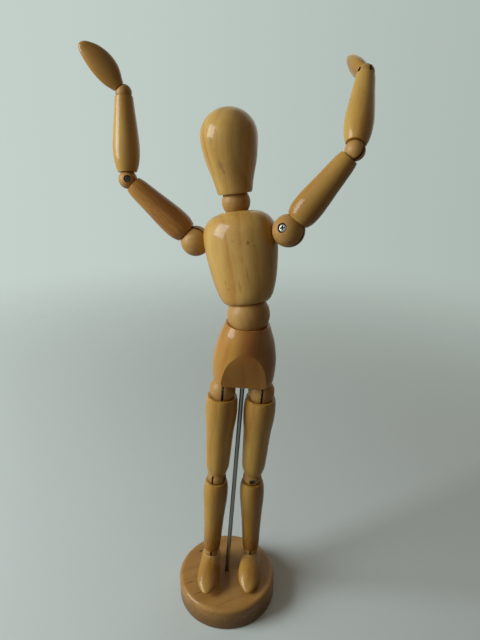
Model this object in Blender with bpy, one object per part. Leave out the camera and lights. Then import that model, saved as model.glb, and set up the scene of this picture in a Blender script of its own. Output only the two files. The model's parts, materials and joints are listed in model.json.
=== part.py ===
"""Jointed wooden artist's mannequin on a round base, posed with both arms raised.

Metres, +Z up. The origin is the centre of the base's underside and the figure faces -Y,
so the figure's left hand is on +X. Every limb joint is a turned ball with a tenon on one
side, a slot on the other, a cross screw through both cheeks and a flat steel link that
swings in the slot. Waist and neck are bored balls held between two cups by a spring.
Empties stand on the joint axes: each piece hangs from the empty it turns with.
"""
import math

import bmesh
import bpy
from mathutils import Matrix, Vector

MM = 0.001

# Clearances
SEAT_GAP = 0.35 * MM
FIT_GAP = 0.3 * MM

# Base and rod
BASE_RADIUS = 34.0 * MM
BASE_HEIGHT = 17.0 * MM
BASE_TOP_ROUND = 2.6 * MM
BASE_FOOT_ROUND = 1.0 * MM
ROD_RADIUS = 1.4 * MM
WOOD_UNDER_ROD = 4.0 * MM
ROD_IN_BASE = BASE_HEIGHT - WOOD_UNDER_ROD
ROD_IN_PELVIS = 15.0 * MM

# Core lengths, between ball centres
HIP_HALF_SPACING = 11.9 * MM
WAIST_ABOVE_HIP = 50.4 * MM
NECK_ABOVE_WAIST = 63.6 * MM
SHOULDER_ABOVE_WAIST = 44.7 * MM
SHOULDER_HALF_SPACING = 30.0 * MM
HEAD_TOP_ABOVE_NECK = 50.6 * MM

# Limb lengths, between ball centres
UPPER_ARM_LENGTH = 51.8 * MM
FOREARM_LENGTH = 46.9 * MM
HAND_LENGTH = 34.4 * MM
THIGH_LENGTH = 67.8 * MM
SHIN_LENGTH = 67.4 * MM
ANKLE_ABOVE_SOLE = 12.6 * MM

# The hips hang at the height that keeps the soles clear of the base
SOLE_CLEARANCE = 2.2 * MM
HIP_HEIGHT = THIGH_LENGTH + SHIN_LENGTH + ANKLE_ABOVE_SOLE + SOLE_CLEARANCE

# Ball radii
WAIST_BALL = 12.4 * MM
NECK_BALL = 8.0 * MM
SHOULDER_BALL = 8.9 * MM
ELBOW_BALL = 5.3 * MM
WRIST_BALL = 4.5 * MM
HIP_BALL = 8.2 * MM
KNEE_BALL = 6.2 * MM
ANKLE_BALL = 4.9 * MM

# Section depth as a share of the width
CHEST_DEPTH = 0.76
PELVIS_DEPTH = 0.86

# Bores along the limbs take a ball's tenon at one end and a link's shank at the other
SHOULDER_BORE = 2.5 * MM
UPPER_ARM_BORE = 2.1 * MM
FOREARM_BORE = 1.8 * MM
HAND_BORE = 1.6 * MM
HIP_BORE = 2.5 * MM
THIGH_BORE = 2.3 * MM
SHIN_BORE = 2.0 * MM
FOOT_BORE = 2.0 * MM
SPRING_BORE = 4.2 * MM
NECK_BORE = 2.9 * MM

# How far each link's shank reaches below its screw
SHOULDER_LINK = 22 * MM
ELBOW_LINK = 17 * MM
WRIST_LINK = 14 * MM
HIP_LINK = 24 * MM
KNEE_LINK = 20 * MM
ANKLE_LINK = 15 * MM

# Limb ends: ball, distance of the rim from the ball's centre, rim radius
UPPER_ARM_TOP = (SHOULDER_BALL, 7.2 * MM, 6.4 * MM)
UPPER_ARM_END = (ELBOW_BALL, 4.0 * MM, 5.0 * MM)
FOREARM_TOP = (ELBOW_BALL, 4.0 * MM, 5.3 * MM)
FOREARM_END = (WRIST_BALL, 2.0 * MM, 5.0 * MM)
THIGH_TOP = (HIP_BALL, 4.6 * MM, 9.0 * MM)
THIGH_END = (KNEE_BALL, 3.6 * MM, 6.0 * MM)
SHIN_TOP = (KNEE_BALL, 3.6 * MM, 7.0 * MM)
SHIN_END = (ANKLE_BALL, 2.6 * MM, 5.5 * MM)

# Rest pose in degrees, as photographed
ROD_LEAN = 4.15
WAIST_SIDE, WAIST_TURN, WAIST_BEND = -17.3, -26.7, -14.3
NECK_SIDE, NECK_TURN, NECK_BEND = 2.9, 0.0, 5.0
POSE = {
    "right": {
        "shoulder": (-153.0, 57.6),
        "elbow": (137.4, -46.9),
        "wrist": (168.7, -41.3),
        "hand": 0.0,
        "hip": (0.0, 1.8),
        "knee": (-27.0, 0.0),
        "ankle": (23.0, -1.8),
    },
    "left": {
        "shoulder": (13.1, 45.2),
        "elbow": (23.4, 44.3),
        "wrist": (24.7, 42.0),
        "hand": 53.4,
        "hip": (0.0, 2.9),
        "knee": (-90.0, 3.6),
        "ankle": (86.0, -1.8),
    },
}

# Joints whose screw head faces the other way along the swing axis
HEAD_BEHIND = ("left_elbow", "right_ankle")

STEPS = 14
EMPTY_SIZE = 5 * MM
X, Y, Z = Vector((1, 0, 0)), Vector((0, 1, 0)), Vector((0, 0, 1))

for thing in list(bpy.data.objects):
    bpy.data.objects.remove(thing)


def paint(name, color, metallic, roughness):
    material = bpy.data.materials.new(name)
    material.use_nodes = True
    shader = material.node_tree.nodes["Principled BSDF"]
    shader.inputs["Base Color"].default_value = (*color, 1)
    shader.inputs["Metallic"].default_value = metallic
    shader.inputs["Roughness"].default_value = roughness
    return material


WOOD = ((0.52, 0.30, 0.10), 0.0, 0.3)
PALE_WOOD = ((0.62, 0.42, 0.20), 0.0, 0.5)
STEEL = ((0.62, 0.62, 0.60), 1.0, 0.3)


def turn(angle, axis):
    return Matrix.Rotation(math.radians(angle), 4, axis)


def shift(x=0.0, y=0.0, z=0.0):
    return Matrix.Translation((x, y, z))


def empty(name, parent, local):
    holder = bpy.data.objects.new(name, None)
    holder.empty_display_size = EMPTY_SIZE
    bpy.context.scene.collection.objects.link(holder)
    holder.parent = parent
    holder.matrix_local = local
    return holder


def part(name, bm, parent, look, local=None):
    """Turns a finished bmesh into a named piece hung from its joint's empty."""
    bmesh.ops.recalc_face_normals(bm, faces=bm.faces)
    mesh = bpy.data.meshes.new(name)
    bm.to_mesh(mesh)
    bm.free()
    piece = bpy.data.objects.new(name, mesh)
    bpy.context.scene.collection.objects.link(piece)
    piece.parent = parent
    if local is not None:
        piece.matrix_local = local
    if look is not None:
        mesh.materials.append(paint(name, *look))
    return piece


def cut(piece, bm, local=None):
    """Cuts a bmesh given in the piece's own frame out of the piece."""
    tool = part(f"{piece.name}_cutter", bm, piece, None, local)
    tool.hide_render = True
    tool.display_type = "WIRE"
    change = piece.modifiers.new("cut", "BOOLEAN")
    change.operation = "DIFFERENCE"
    change.solver = "EXACT"
    change.object = tool


def turned(profile, steps=STEPS, closed=False):
    """Spins (radius, height) points round Z."""
    bm = bmesh.new()
    points = [bm.verts.new((radius, 0, height)) for radius, height in profile]
    edges = [bm.edges.new(pair) for pair in zip(points, points[1:])]
    if closed:
        edges.append(bm.edges.new((points[-1], points[0])))
    bmesh.ops.spin(
        bm, geom=points + edges, axis=Z, cent=(0, 0, 0), angle=math.tau, steps=steps, use_merge=True
    )
    bmesh.ops.remove_doubles(bm, verts=bm.verts, dist=1e-7)
    return bm


def arc(radius, start, end, count, height=0.0):
    """Points on a ball of this radius, by angle from +Z, as (radius, height)."""
    angles = [start + (end - start) * i / count for i in range(count + 1)]
    return [(radius * math.sin(a), height + radius * math.cos(a)) for a in angles]


def ball_cutter(radius, centre=(0, 0, 0), steps=18):
    bm = turned(arc(radius, 0, math.pi, steps // 2), steps)
    bmesh.ops.translate(bm, verts=bm.verts, vec=centre)
    return bm


def rod_cutter(radius, bottom, top, steps=10):
    return turned([(0, bottom), (radius, bottom), (radius, top), (0, top)], steps)


def box(x, y, z):
    """Box between the given (low, high) pairs."""
    bm = bmesh.new()
    bmesh.ops.create_cube(bm, size=1)
    for vert in bm.verts:
        vert.co = [low + (high - low) * (at + 0.5) for at, (low, high) in zip(vert.co, (x, y, z))]
    return bm


def limb(length, bore, near, outline, far):
    """Turned limb from a ball centre at 0 down to one at -length, a cup at both ends.

    near and far hold each end's ball radius, rim distance from that ball's centre and rim radius.
    The outline gives radii at shares of the length.
    """
    ball, rim, edge = near
    seat = ball + SEAT_GAP
    top_cup = arc(seat, math.pi - math.asin(bore / seat), math.pi - math.acos(rim / seat), 3)
    profile = top_cup + [(edge, -rim)]
    profile += [(radius, -share * length) for share, radius in outline]
    ball, rim, edge = far
    seat = ball + SEAT_GAP
    profile.append((edge, rim - length))
    profile += arc(seat, math.acos(rim / seat), math.asin(bore / seat), 3, -length)
    return turned(profile, closed=True)


# Screws by ball: shank radius and head radius
LARGE_SCREW = (1.2 * MM, 2.3 * MM)
SCREW = {
    SHOULDER_BALL: LARGE_SCREW,
    HIP_BALL: LARGE_SCREW,
    ELBOW_BALL: (0.9 * MM, 1.6 * MM),
    WRIST_BALL: (0.7 * MM, 1.2 * MM),
    KNEE_BALL: (1.0 * MM, 1.7 * MM),
    ANKLE_BALL: (0.85 * MM, 1.5 * MM),
}
EYE_WALL = 1.1 * MM
EYE_PLAY = 0.4 * MM
HEAD_SINK = 1.5 * MM
WIDE_SLOT = 1.4 * MM
FINE_SLOT = 1.25 * MM
SLOT_PLAY = 0.25 * MM
SLOT_DEPTH = 0.63
SCREW_PLAY = 0.25 * MM
SCREW_DEPTH = 0.62


def joint_sizes(ball):
    """Screw, eye and slot sizes that go with a ball radius."""
    shank, head = SCREW[ball]
    eye = shank + EYE_WALL
    slot = WIDE_SLOT if ball > KNEE_BALL else FINE_SLOT
    return {
        "shank": shank,
        "head": head,
        "eye": eye,
        "slot": slot,
        "link": slot - 2 * SLOT_PLAY,
        "slot_back": max(eye + EYE_PLAY, SLOT_DEPTH * ball),
        "head_seat": math.sqrt(ball**2 - head**2) - HEAD_SINK,
        "end": SCREW_DEPTH * ball,
    }


def head_way(joint):
    return -1 if joint in HEAD_BEHIND else 1


def slotted_ball(joint, ball, bore, tenon, parent, look, flip=False):
    """Ball with its tenon along +Z, its slot in the lower half and a blind screw hole along X."""
    size = joint_sizes(ball)
    stem = bore - FIT_GAP
    neck = math.asin(stem / ball)
    profile = [(0, ball + tenon), (stem, ball + tenon)] + arc(ball, neck, math.pi, 7)
    piece = part(f"{joint}_ball", turned(profile), parent, look, turn(180, "X") if flip else None)
    half = size["slot"] / 2
    cut(piece, box((-half, half), (-2 * ball, 2 * ball), (-2 * ball, size["slot_back"])))
    along = turn(90 * head_way(joint), "Y")
    hole = size["shank"] + SCREW_PLAY
    cut(piece, rod_cutter(hole, -size["end"] - SCREW_PLAY, 2 * ball, 8), along)
    recess = size["head"] + SCREW_PLAY
    cut(piece, rod_cutter(recess, size["head_seat"] - SCREW_PLAY, 2 * ball, 10), along)
    return piece


def screw(joint, ball, parent):
    """Pan-head screw along X with a cross recess."""
    size = joint_sizes(ball)
    seat, head, shank = size["head_seat"], size["head"], size["shank"]
    dome = [(head, seat), (head, seat + 0.5 * MM), (0.7 * head, seat + 0.95 * MM), (0, seat + 1.15 * MM)]
    profile = [(0, -size["end"]), (shank, -size["end"]), (shank, seat)] + dome
    piece = part(f"{joint}_screw", turned(profile, 8), parent, STEEL, turn(90 * head_way(joint), "Y"))
    arm, wide = 0.62 * head, 0.15 * head
    low, high = seat + 0.55 * MM, seat + 2 * MM
    cut(piece, box((-arm, arm), (-wide, wide), (low, high)))
    cut(piece, box((-wide, wide), (-arm, arm), (low, high)))
    return piece


def link(joint, ball, bore, reach, parent, flip=False):
    """Flat steel link: an eye round the screw and a shank that runs into the limb's bore."""
    size = joint_sizes(ball)
    half = math.sqrt((bore - FIT_GAP) ** 2 - (size["link"] / 2) ** 2)
    half = min(half, size["eye"] - 0.05 * MM)
    bend = math.asin(half / size["eye"])
    angles = [bend + (math.tau - 2 * bend) * i / 8 for i in range(9)]
    outline = [(size["eye"] * math.sin(a), -size["eye"] * math.cos(a)) for a in angles]
    outline += [(-half, -reach), (half, -reach)]
    bm = bmesh.new()
    thick = size["link"]
    face = bm.faces.new([bm.verts.new((-thick / 2, y, z)) for y, z in outline])
    raised = bmesh.ops.extrude_face_region(bm, geom=[face])
    moved = [item for item in raised["geom"] if isinstance(item, bmesh.types.BMVert)]
    bmesh.ops.translate(bm, vec=(thick, 0, 0), verts=moved)
    piece = part(f"{joint}_link", bm, parent, STEEL, turn(180, "X") if flip else None)
    cut(piece, rod_cutter(size["shank"] + SCREW_PLAY, -thick, thick, 8), turn(90, "Y"))
    return piece


def loft(rings):
    """Closed body through rings of points, capped at both ends."""
    bm = bmesh.new()
    loops = []
    for ring in rings:
        points = [bm.verts.new(point) for point in ring]
        loops.append([bm.edges.new((a, b)) for a, b in zip(points, points[1:] + points[:1])])
    for a, b in zip(loops, loops[1:]):
        bmesh.ops.bridge_loops(bm, edges=a + b)
    for loop in (loops[0], loops[-1]):
        bmesh.ops.contextual_create(bm, geom=loop)
    return bm


def spring(name, parent, lower, upper, reach, coil, wire):
    """Coil spring whose centre line runs from the lower piece's axis to the upper one's."""
    inverse = parent.matrix_world.inverted()
    low = inverse @ lower.matrix_world
    high = inverse @ upper.matrix_world
    ends = low @ Vector((0, 0, -reach)), high @ Vector((0, 0, reach))
    pulls = low @ Vector((0, 0, -reach / 3)), high @ Vector((0, 0, reach / 3))
    count = SPRING_TURNS * 8
    path = []
    for i in range(count + 1):
        t = i / count
        s = 1 - t
        centre = s**3 * ends[0] + 3 * s * s * t * pulls[0] + 3 * s * t * t * pulls[1] + t**3 * ends[1]
        along = s * s * (pulls[0] - ends[0]) + 2 * s * t * (pulls[1] - pulls[0])
        along = (along + t * t * (ends[1] - pulls[1])).normalized()
        across = (X - X.dot(along) * along).normalized()
        beside = along.cross(across)
        angle = math.tau * SPRING_TURNS * t
        path.append(centre + coil * (math.cos(angle) * across + math.sin(angle) * beside))
    curve = bpy.data.curves.new(name, "CURVE")
    curve.dimensions = "3D"
    curve.bevel_depth = wire
    curve.bevel_resolution = 0
    curve.use_fill_caps = True
    line = curve.splines.new("POLY")
    line.points.add(len(path) - 1)
    for point, place in zip(line.points, path):
        point.co = (*place, 1)
    piece = bpy.data.objects.new(name, curve)
    bpy.context.scene.collection.objects.link(piece)
    piece.parent = parent
    curve.materials.append(paint(name, *STEEL))
    nearest = min((a - b).length for i, a in enumerate(path) for b in path[i + 6 :])
    print(f"{name}: least gap to itself {(nearest - 2 * wire) / MM:.2f} mm")


# Base and rod
base_rig = empty("base_rig", None, shift())
edge = BASE_TOP_ROUND
rim = [
    (BASE_RADIUS - edge + edge * math.sin(a), BASE_HEIGHT - edge + edge * math.cos(a))
    for a in [math.radians(v) for v in (0, 22.5, 45, 67.5, 90)]
]
foot = BASE_FOOT_ROUND
base = part(
    "base",
    turned([(0, 0), (BASE_RADIUS - foot, 0), (BASE_RADIUS, foot)] + rim[::-1] + [(0, BASE_HEIGHT)], 40),
    base_rig,
    WOOD,
)
rod_place = shift(z=BASE_HEIGHT) @ turn(ROD_LEAN, "Y") @ shift(z=HIP_HEIGHT)
pelvis_rig = empty("pelvis_rig", base_rig, rod_place)
PELVIS_BOTTOM = 7.0 * MM
rod_low = -HIP_HEIGHT - ROD_IN_BASE
rod_high = PELVIS_BOTTOM + ROD_IN_PELVIS
part("support_rod", rod_cutter(ROD_RADIUS, rod_low, rod_high), pelvis_rig, STEEL)
cut(
    base,
    rod_cutter(ROD_RADIUS + FIT_GAP, rod_low - FIT_GAP, BASE_HEIGHT - HIP_HEIGHT),
    rod_place,
)

# Pelvis: a turned barrel, cut back to an arch in front and behind
PELVIS_CUP_RIM = 5.6 * MM
PELVIS_SPRING_DEPTH = 11 * MM
PELVIS_ROUND_BAND = 8.4 * MM
PELVIS_OVAL_EASE = 14 * MM
PELVIS_CUP_EDGE = 12.9 * MM
PELVIS_OUTLINE = (
    (PELVIS_BOTTOM, 17.2 * MM),
    (PELVIS_BOTTOM + 1.2 * MM, 17.9 * MM),
    (10 * MM, 18.4 * MM),
    (17 * MM, 18.8 * MM),
    (23 * MM, 18.6 * MM),
    (29 * MM, 17.5 * MM),
    (34 * MM, 16.1 * MM),
    (39 * MM, 14.5 * MM),
    (43 * MM, 13.3 * MM),
)
seat = WAIST_BALL + SEAT_GAP
profile = [(0, PELVIS_BOTTOM)] + [(radius, height) for height, radius in PELVIS_OUTLINE]
profile.append((PELVIS_CUP_EDGE, WAIST_ABOVE_HIP - PELVIS_CUP_RIM))
cup = arc(
    seat, math.acos(-PELVIS_CUP_RIM / seat), math.pi - math.asin(SPRING_BORE / seat), 5, WAIST_ABOVE_HIP
)
spring_floor = WAIST_ABOVE_HIP - WAIST_BALL - PELVIS_SPRING_DEPTH
profile += cup + [(SPRING_BORE, spring_floor), (0, spring_floor)]
# The barrel is pressed to an oval section and turns round again below the cup
bm = turned(profile, 24)
for vert in bm.verts:
    ease = min(1.0, max(0.0, (WAIST_ABOVE_HIP - PELVIS_ROUND_BAND - vert.co.z) / PELVIS_OVAL_EASE))
    vert.co.y *= 1 + (PELVIS_DEPTH - 1) * ease
pelvis = part("pelvis", bm, pelvis_rig, WOOD)
ARCH_TOP = 31 * MM
ARCH_TOP_HALF = 15.1 * MM
ARCH_BOTTOM_HALF = 8.8 * MM
arch_lean = math.degrees(math.atan2(ARCH_TOP_HALF - ARCH_BOTTOM_HALF, ARCH_TOP - PELVIS_BOTTOM))
wide = WAIST_ABOVE_HIP
for way in (1, -1):
    block = box((-wide, wide), (0, wide), (-PELVIS_BOTTOM, WAIST_ABOVE_HIP))
    place = shift(y=way * ARCH_BOTTOM_HALF, z=PELVIS_BOTTOM) @ turn(-way * arch_lean, "X")
    cut(pelvis, block, place @ (turn(180, "Z") if way < 0 else shift()))
cut(pelvis, rod_cutter(ROD_RADIUS + FIT_GAP, 0, rod_high + FIT_GAP))
HIP_TENON = 8 * MM
for side in (-1, 1):
    place = side * HIP_HALF_SPACING
    cut(pelvis, ball_cutter(HIP_BALL + SEAT_GAP, (place, 0, 0)))
    cut(pelvis, rod_cutter(HIP_BORE, 0, HIP_BALL + HIP_TENON + FIT_GAP), shift(x=place))

# Waist
waist_side = empty("waist_side", pelvis_rig, shift(z=WAIST_ABOVE_HIP) @ turn(WAIST_SIDE, "Y"))
waist_turn = empty("waist_turn", waist_side, turn(WAIST_TURN, "Z"))
waist_bend = empty("waist_bend", waist_turn, turn(WAIST_BEND, "X"))


def bored_ball(name, ball, throat, mouth, parent):
    """Ball bored through, the bore flaring to both ends so that the spring can bend."""
    open_at = math.asin(mouth / ball)
    profile = arc(ball, open_at, math.pi - open_at, 9) + [(throat, 0)]
    return part(name, turned(profile, 20, closed=True), parent, PALE_WOOD)


WAIST_THROAT = 4.2 * MM
WAIST_MOUTH = 7.2 * MM
bored_ball("waist_ball", WAIST_BALL, WAIST_THROAT, WAIST_MOUTH, waist_side)

# Chest
CHEST_CUP_RIM = 7.0 * MM
CHEST_NECK_RIM = 5.4 * MM
CHEST_SPRING_TOP = 34 * MM
CHEST_NECK_FLOOR = 38 * MM
CHEST_ROUND_INSIDE = 9.0 * MM
CHEST_OVAL_EASE = 10 * MM
CHEST_NECK_EASE = 4 * MM
CHEST_OUTLINE = (
    (CHEST_CUP_RIM, 12.2 * MM),
    (8.6 * MM, 14.0 * MM),
    (12 * MM, 16.1 * MM),
    (19 * MM, 18.6 * MM),
    (27 * MM, 20.3 * MM),
    (36 * MM, 21.6 * MM),
    (44 * MM, 22.0 * MM),
    (49.5 * MM, 21.2 * MM),
    (54 * MM, 18.6 * MM),
    (56.8 * MM, 14.6 * MM),
    (NECK_ABOVE_WAIST - CHEST_NECK_RIM, 9.6 * MM),
)
seat = WAIST_BALL + SEAT_GAP
low_cup = arc(seat, math.asin(SPRING_BORE / seat), math.acos(CHEST_CUP_RIM / seat), 5)
profile = low_cup + [(radius, height) for height, radius in CHEST_OUTLINE]
seat = NECK_BALL + SEAT_GAP
high_cup = arc(
    seat, math.acos(-CHEST_NECK_RIM / seat), math.pi - math.asin(NECK_BORE / seat), 4, NECK_ABOVE_WAIST
)
profile += high_cup + [(NECK_BORE, CHEST_NECK_FLOOR), (SPRING_BORE, CHEST_SPRING_TOP)]
bm = turned(profile, 24, closed=True)
for vert in bm.verts:
    radius = math.hypot(vert.co.x, vert.co.y)
    rise = min(1.0, max(0.0, (vert.co.z - CHEST_CUP_RIM) / CHEST_OVAL_EASE))
    near_neck = min(1.0, max(0.0, (radius - CHEST_ROUND_INSIDE) / CHEST_NECK_EASE))
    vert.co.y *= 1 + (CHEST_DEPTH - 1) * rise * near_neck
chest = part("chest", bm, waist_bend, WOOD)
SHOULDER_TENON = 9 * MM
for side in (-1, 1):
    place = (side * SHOULDER_HALF_SPACING, 0, SHOULDER_ABOVE_WAIST)
    cut(chest, ball_cutter(SHOULDER_BALL + SEAT_GAP, place))
    bore = rod_cutter(SHOULDER_BORE, 0, SHOULDER_BALL + SHOULDER_TENON + FIT_GAP)
    cut(chest, bore, Matrix.Translation(place) @ turn(-90 * side, "Y"))

# Neck and head
neck_side = empty("neck_side", waist_bend, shift(z=NECK_ABOVE_WAIST) @ turn(NECK_SIDE, "Y"))
neck_turn = empty("neck_turn", neck_side, turn(NECK_TURN, "Z"))
neck_bend = empty("neck_bend", neck_turn, turn(NECK_BEND, "X"))
NECK_THROAT = 2.6 * MM
NECK_MOUTH = 3.9 * MM
bored_ball("neck_ball", NECK_BALL, NECK_THROAT, NECK_MOUTH, neck_side)
HEAD_CUP_RIM = 4.6 * MM
HEAD_SPRING_TOP = 20 * MM
HEAD_OUTLINE = (
    (HEAD_CUP_RIM, 9.3 * MM),
    (6 * MM, 9.9 * MM),
    (10 * MM, 10.7 * MM),
    (15 * MM, 12.0 * MM),
    (20 * MM, 13.5 * MM),
    (25 * MM, 14.6 * MM),
    (30 * MM, 15.4 * MM),
    (35 * MM, 15.7 * MM),
    (39 * MM, 15.1 * MM),
    (42.5 * MM, 13.7 * MM),
    (45.8 * MM, 11.3 * MM),
    (48.3 * MM, 8.1 * MM),
    (50 * MM, 4.2 * MM),
)
cup = arc(seat, math.asin(NECK_BORE / seat), math.acos(HEAD_CUP_RIM / seat), 4)
profile = [(0, HEAD_SPRING_TOP), (NECK_BORE, HEAD_SPRING_TOP)] + cup
profile += [(radius, height) for height, radius in HEAD_OUTLINE] + [(0, HEAD_TOP_ABOVE_NECK)]
part("head", turned(profile, 20), neck_bend, WOOD)

# Springs
waist_low = empty("waist_low", pelvis_rig, shift(z=WAIST_ABOVE_HIP))
neck_low = empty("neck_low", waist_bend, shift(z=NECK_ABOVE_WAIST))
bpy.context.view_layer.update()
# Reach beyond the ball's centre, coil radius, wire radius
WAIST_SPRING = (22 * MM, 2.4 * MM, 0.45 * MM)
NECK_SPRING = (16 * MM, 1.6 * MM, 0.35 * MM)
SPRING_TURNS = 6
spring("waist_spring", waist_turn, waist_low, waist_bend, *WAIST_SPRING)
spring("neck_spring", neck_turn, neck_low, neck_bend, *NECK_SPRING)

# Arms
UPPER_ARM_OUTLINE = (
    (0.185, 7.4 * MM),
    (0.24, 8.0 * MM),
    (0.34, 8.15 * MM),
    (0.46, 7.7 * MM),
    (0.60, 7.0 * MM),
    (0.73, 6.4 * MM),
    (0.85, 5.8 * MM),
)
FOREARM_OUTLINE = (
    (0.15, 6.4 * MM),
    (0.24, 7.2 * MM),
    (0.35, 7.55 * MM),
    (0.46, 7.35 * MM),
    (0.61, 6.7 * MM),
    (0.77, 5.9 * MM),
    (0.88, 5.4 * MM),
)
# Hand sections: share of the length, half breadth, half thickness, bow to one side
HAND_OUTLINE = (
    (0.113, 3.7 * MM, 3.2 * MM, 0.0 * MM),
    (0.174, 4.4 * MM, 3.6 * MM, 0.1 * MM),
    (0.26, 5.3 * MM, 4.0 * MM, 0.4 * MM),
    (0.36, 6.1 * MM, 4.3 * MM, 0.8 * MM),
    (0.49, 6.6 * MM, 4.4 * MM, 1.0 * MM),
    (0.62, 6.4 * MM, 4.2 * MM, 1.0 * MM),
    (0.74, 5.7 * MM, 3.7 * MM, 0.8 * MM),
    (0.84, 4.7 * MM, 3.0 * MM, 0.4 * MM),
    (0.925, 3.6 * MM, 2.3 * MM, -0.1 * MM),
    (0.98, 2.3 * MM, 1.5 * MM, -0.5 * MM),
)
ELBOW_TENON = 8 * MM
WRIST_TENON = 7 * MM


def hand_body():
    """Leaf-shaped hand along -Z, broad along Y, bowed to one side."""
    rings = []
    for share, broad, thick, bow in HAND_OUTLINE:
        angles = [math.tau * i / 12 for i in range(12)]
        rings.append([
            (thick * math.cos(a), broad * math.sin(a) + bow, -share * HAND_LENGTH)
            for a in angles
        ])
    return loft(rings)


def frames(name, parent, start, turn_and_swing):
    """Empties for a joint: the ball turns on its tenon, the next limb swings on its screw."""
    swivel = empty(f"{name}_turn", parent, start @ turn(turn_and_swing[0], "Z"))
    return swivel, empty(f"{name}_swing", swivel, turn(turn_and_swing[1], "X"))


for side, way in (("right", -1), ("left", 1)):
    pose = POSE[side]
    outward = Matrix(((0, 0, -way, 0), (-1, 0, 0, 0), (0, way, 0, 0), (0, 0, 0, 1)))
    start = shift(way * SHOULDER_HALF_SPACING, 0, SHOULDER_ABOVE_WAIST) @ outward

    swivel, swing = frames(f"{side}_shoulder", waist_bend, start, pose["shoulder"])
    slotted_ball(f"{side}_shoulder", SHOULDER_BALL, SHOULDER_BORE, SHOULDER_TENON, swivel, PALE_WOOD)
    screw(f"{side}_shoulder", SHOULDER_BALL, swivel)
    link(f"{side}_shoulder", SHOULDER_BALL, UPPER_ARM_BORE, SHOULDER_LINK, swing)
    body = limb(UPPER_ARM_LENGTH, UPPER_ARM_BORE, UPPER_ARM_TOP, UPPER_ARM_OUTLINE, UPPER_ARM_END)
    part(f"{side}_upper_arm", body, swing, WOOD)

    swivel, swing = frames(f"{side}_elbow", swing, shift(z=-UPPER_ARM_LENGTH), pose["elbow"])
    slotted_ball(f"{side}_elbow", ELBOW_BALL, UPPER_ARM_BORE, ELBOW_TENON, swivel, PALE_WOOD)
    screw(f"{side}_elbow", ELBOW_BALL, swivel)
    link(f"{side}_elbow", ELBOW_BALL, FOREARM_BORE, ELBOW_LINK, swing)
    body = limb(FOREARM_LENGTH, FOREARM_BORE, FOREARM_TOP, FOREARM_OUTLINE, FOREARM_END)
    part(f"{side}_forearm", body, swing, WOOD)

    swivel, swing = frames(f"{side}_wrist", swing, shift(z=-FOREARM_LENGTH), pose["wrist"])
    slotted_ball(f"{side}_wrist", WRIST_BALL, FOREARM_BORE, WRIST_TENON, swivel, PALE_WOOD)
    screw(f"{side}_wrist", WRIST_BALL, swivel)
    link(f"{side}_wrist", WRIST_BALL, HAND_BORE, WRIST_LINK, swing)
    twist = empty(f"{side}_hand_twist", swing, turn(pose["hand"], "Z"))
    hand = part(f"{side}_hand", hand_body(), twist, WOOD)
    cut(hand, ball_cutter(WRIST_BALL + SEAT_GAP))
    cut(hand, rod_cutter(HAND_BORE, -WRIST_LINK - FIT_GAP, 0))

# Legs
THIGH_OUTLINE = (
    (0.094, 9.6 * MM),
    (0.14, 10.1 * MM),
    (0.22, 10.3 * MM),
    (0.32, 9.9 * MM),
    (0.44, 9.0 * MM),
    (0.59, 8.4 * MM),
    (0.74, 8.0 * MM),
    (0.85, 7.6 * MM),
    (0.90, 6.9 * MM),
)
SHIN_OUTLINE = (
    (0.10, 7.8 * MM),
    (0.18, 8.2 * MM),
    (0.27, 8.1 * MM),
    (0.37, 7.7 * MM),
    (0.49, 7.15 * MM),
    (0.63, 6.65 * MM),
    (0.78, 6.2 * MM),
    (0.90, 5.9 * MM),
)
# Foot sections: place along the foot, half width, top and underside above the sole
FOOT_OUTLINE = (
    (9.2 * MM, 2.6 * MM, 7.8 * MM, 3.6 * MM),
    (8.0 * MM, 4.8 * MM, 9.6 * MM, 1.8 * MM),
    (5.5 * MM, 6.3 * MM, 11.2 * MM, 0.4 * MM),
    (1.5 * MM, 6.9 * MM, 11.8 * MM, 0.0 * MM),
    (-3.0 * MM, 7.0 * MM, 11.2 * MM, 0.0 * MM),
    (-7.0 * MM, 7.3 * MM, 9.6 * MM, 0.0 * MM),
    (-12.0 * MM, 7.7 * MM, 7.9 * MM, 0.0 * MM),
    (-17.0 * MM, 7.4 * MM, 6.8 * MM, 0.1 * MM),
    (-21.5 * MM, 6.0 * MM, 5.9 * MM, 0.5 * MM),
    (-25.5 * MM, 3.9 * MM, 5.0 * MM, 1.1 * MM),
    (-28.6 * MM, 1.5 * MM, 4.0 * MM, 1.9 * MM),
)
KNEE_TENON = 9 * MM
ANKLE_TENON = 5.4 * MM


def foot_body():
    """Foot pointing along -Y with its ankle centre at 0, flat below and rounded above."""
    rings = []
    for place, half, top, under in FOOT_OUTLINE:
        ring = []
        for i in range(12):
            a = math.tau * i / 12
            across = half * math.copysign(abs(math.cos(a)) ** 0.8, math.cos(a))
            middle = under + 0.32 * (top - under)
            lift = top - middle if math.sin(a) > 0 else middle - under
            up = middle + lift * math.copysign(abs(math.sin(a)) ** 0.75, math.sin(a))
            ring.append((across, place, up - ANKLE_ABOVE_SOLE))
        rings.append(ring)
    return loft(rings)


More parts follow.
